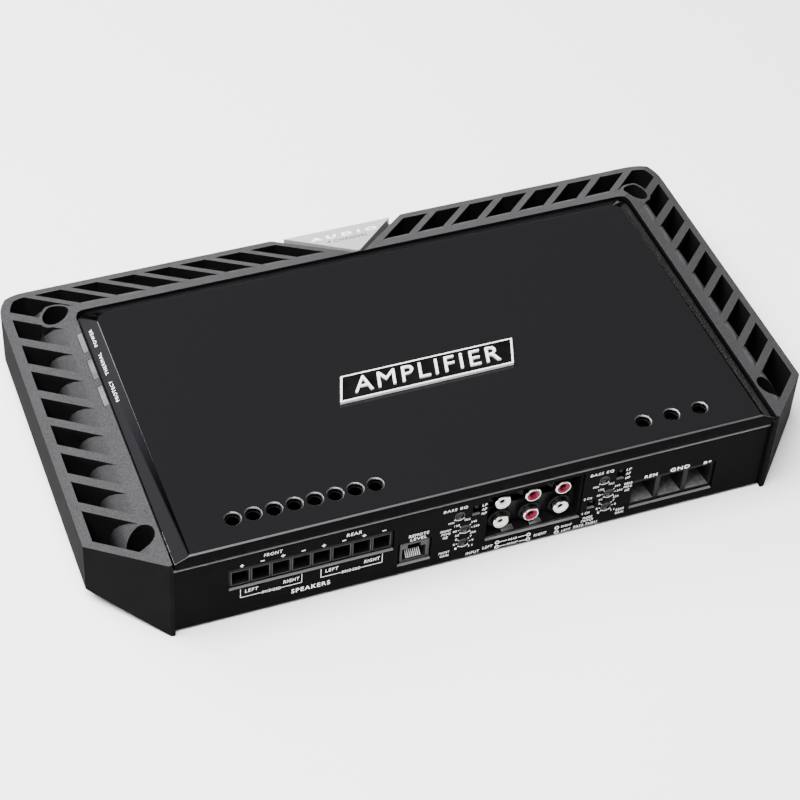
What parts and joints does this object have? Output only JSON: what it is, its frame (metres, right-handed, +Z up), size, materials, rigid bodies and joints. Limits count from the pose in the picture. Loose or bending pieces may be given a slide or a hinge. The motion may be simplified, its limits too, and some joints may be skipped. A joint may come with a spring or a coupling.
{
  "type": "car amplifier",
  "caption": "Low black car audio amplifier with a ribbed cast frame, a gloss cover, wire clamps, phono sockets, trimmers and slide switches on its front panel.",
  "frame": {"origin": "centre of the object's outline, on the surface it rests on", "axes": "+X along the connector panel to the right as one faces it, connectors facing -Y, +Z up"},
  "size_m": [0.3772, 0.2144, 0.0564],
  "materials": {
    "cast_black": "satin",
    "gloss_black": "gloss",
    "satin_black": "satin",
    "brushed_silver": "satin",
    "bright_trim": "polished",
    "clear_lens": "gloss",
    "moulded_black": "matte",
    "trimmer_black": "satin",
    "slider_black": "satin",
    "circuit_board": "satin",
    "winding": "satin",
    "capacitor_sleeve": "satin",
    "zinc_steel": "satin",
    "nickel": "polished"
  },
  "bodies": {
    "root": {"heatsink_frame": "cast_black", "top_cover": "gloss_black", "bottom_plate": "satin_black", "front_panel": "satin_black", "rear_badge": "brushed_silver", "emblem_plate": "bright_trim", "power_status_lens": "clear_lens", "thermal_status_lens": "clear_lens", "protect_status_lens": "clear_lens", "speaker_terminal_block": "moulded_black", "power_terminal_block": "moulded_black", "phono_block": "moulded_black", "remote_socket": "moulded_black", "trimmer_bank_front": "moulded_black", "trimmer_bank_rear": "moulded_black", "front_crossover_switch": "moulded_black", "rear_crossover_switch": "moulded_black", "input_mode_switch": "moulded_black", "main_board": "circuit_board", "control_board": "circuit_board", "power_transformer_left": "winding", "power_transformer_right": "winding", "transistor_row_left": "moulded_black", "transistor_row_right": "moulded_black", "transistor_clamp_left": "zinc_steel", "transistor_clamp_right": "zinc_steel", "bottom_plate_screw_1": "zinc_steel", "rail_capacitor_1": "capacitor_sleeve", "bottom_plate_screw_2": "zinc_steel", "rail_capacitor_2": "capacitor_sleeve", "bottom_plate_screw_3": "zinc_steel", "rail_capacitor_3": "capacitor_sleeve", "bottom_plate_screw_4": "zinc_steel", "rail_capacitor_4": "capacitor_sleeve", "phono_sleeve_1": "nickel", "phono_sleeve_2": "nickel", "phono_sleeve_3": "nickel", "phono_sleeve_4": "nickel", "phono_sleeve_5": "nickel", "phono_sleeve_6": "nickel"},
    "speaker_clamp_screw_1": {"speaker_clamp_screw_1": "zinc_steel"},
    "speaker_clamp_screw_2": {"speaker_clamp_screw_2": "zinc_steel"},
    "speaker_clamp_screw_3": {"speaker_clamp_screw_3": "zinc_steel"},
    "speaker_clamp_screw_4": {"speaker_clamp_screw_4": "zinc_steel"},
    "speaker_clamp_screw_5": {"speaker_clamp_screw_5": "zinc_steel"},
    "speaker_clamp_screw_6": {"speaker_clamp_screw_6": "zinc_steel"},
    "speaker_clamp_screw_7": {"speaker_clamp_screw_7": "zinc_steel"},
    "speaker_clamp_screw_8": {"speaker_clamp_screw_8": "zinc_steel"},
    "remote_clamp_screw": {"remote_clamp_screw": "zinc_steel"},
    "ground_clamp_screw": {"ground_clamp_screw": "zinc_steel"},
    "battery_clamp_screw": {"battery_clamp_screw": "zinc_steel"},
    "front_eq_trimmer": {"front_eq_trimmer": "trimmer_black"},
    "front_frequency_trimmer": {"front_frequency_trimmer": "trimmer_black"},
    "front_gain_trimmer": {"front_gain_trimmer": "trimmer_black"},
    "rear_eq_trimmer": {"rear_eq_trimmer": "trimmer_black"},
    "rear_frequency_trimmer": {"rear_frequency_trimmer": "trimmer_black"},
    "rear_gain_trimmer": {"rear_gain_trimmer": "trimmer_black"},
    "front_crossover_slider": {"front_crossover_slider": "slider_black"},
    "rear_crossover_slider": {"rear_crossover_slider": "slider_black"},
    "input_mode_slider": {"input_mode_slider": "slider_black"}
  },
  "joints": [
    {"name": "speaker_clamp_drive_1", "type": "slide", "parent": "root", "child": "speaker_clamp_screw_1", "axis": [0, 0, -1], "range_m": [0, 0.0045]},
    {"name": "speaker_clamp_drive_2", "type": "slide", "parent": "root", "child": "speaker_clamp_screw_2", "axis": [0, 0, -1], "range_m": [0, 0.0045]},
    {"name": "speaker_clamp_drive_3", "type": "slide", "parent": "root", "child": "speaker_clamp_screw_3", "axis": [0, 0, -1], "range_m": [0, 0.0045]},
    {"name": "speaker_clamp_drive_4", "type": "slide", "parent": "root", "child": "speaker_clamp_screw_4", "axis": [0, 0, -1], "range_m": [0, 0.0045]},
    {"name": "speaker_clamp_drive_5", "type": "slide", "parent": "root", "child": "speaker_clamp_screw_5", "axis": [0, 0, -1], "range_m": [0, 0.0045]},
    {"name": "speaker_clamp_drive_6", "type": "slide", "parent": "root", "child": "speaker_clamp_screw_6", "axis": [0, 0, -1], "range_m": [0, 0.0045]},
    {"name": "speaker_clamp_drive_7", "type": "slide", "parent": "root", "child": "speaker_clamp_screw_7", "axis": [0, 0, -1], "range_m": [0, 0.0045]},
    {"name": "speaker_clamp_drive_8", "type": "slide", "parent": "root", "child": "speaker_clamp_screw_8", "axis": [0, 0, -1], "range_m": [0, 0.0045]},
    {"name": "remote_clamp_drive", "type": "slide", "parent": "root", "child": "remote_clamp_screw", "axis": [0, 0, -1], "range_m": [0, 0.006]},
    {"name": "ground_clamp_drive", "type": "slide", "parent": "root", "child": "ground_clamp_screw", "axis": [0, 0, -1], "range_m": [0, 0.006]},
    {"name": "battery_clamp_drive", "type": "slide", "parent": "root", "child": "battery_clamp_screw", "axis": [0, 0, -1], "range_m": [0, 0.006]},
    {"name": "front_eq_turn", "type": "hinge", "parent": "root", "child": "front_eq_trimmer", "pos_m": [-0.0114, -0.0999, 0.0329], "axis": [0, -1, 0], "range_deg": [-140, 140]},
    {"name": "front_frequency_turn", "type": "hinge", "parent": "root", "child": "front_frequency_trimmer", "pos_m": [-0.008, -0.0999, 0.0226], "axis": [0, -1, 0], "range_deg": [-140, 140]},
    {"name": "front_gain_turn", "type": "hinge", "parent": "root", "child": "front_gain_trimmer", "pos_m": [-0.0084, -0.0999, 0.0129], "axis": [0, -1, 0], "range_deg": [-140, 140]},
    {"name": "rear_eq_turn", "type": "hinge", "parent": "root", "child": "rear_eq_trimmer", "pos_m": [0.0648, -0.0999, 0.0329], "axis": [0, -1, 0], "range_deg": [-140, 140]},
    {"name": "rear_frequency_turn", "type": "hinge", "parent": "root", "child": "rear_frequency_trimmer", "pos_m": [0.0682, -0.0999, 0.0226], "axis": [0, -1, 0], "range_deg": [-140, 140]},
    {"name": "rear_gain_turn", "type": "hinge", "parent": "root", "child": "rear_gain_trimmer", "pos_m": [0.0678, -0.0999, 0.0129], "axis": [0, -1, 0], "range_deg": [-140, 140]},
    {"name": "front_crossover_slide", "type": "slide", "parent": "root", "child": "front_crossover_slider", "axis": [0, 0, -1], "range_m": [0, 0.004]},
    {"name": "rear_crossover_slide", "type": "slide", "parent": "root", "child": "rear_crossover_slider", "axis": [0, 0, -1], "range_m": [0, 0.004]},
    {"name": "input_mode_slide", "type": "slide", "parent": "root", "child": "input_mode_slider", "axis": [0, 0, -1], "range_m": [0, 0.003]}
  ]
}
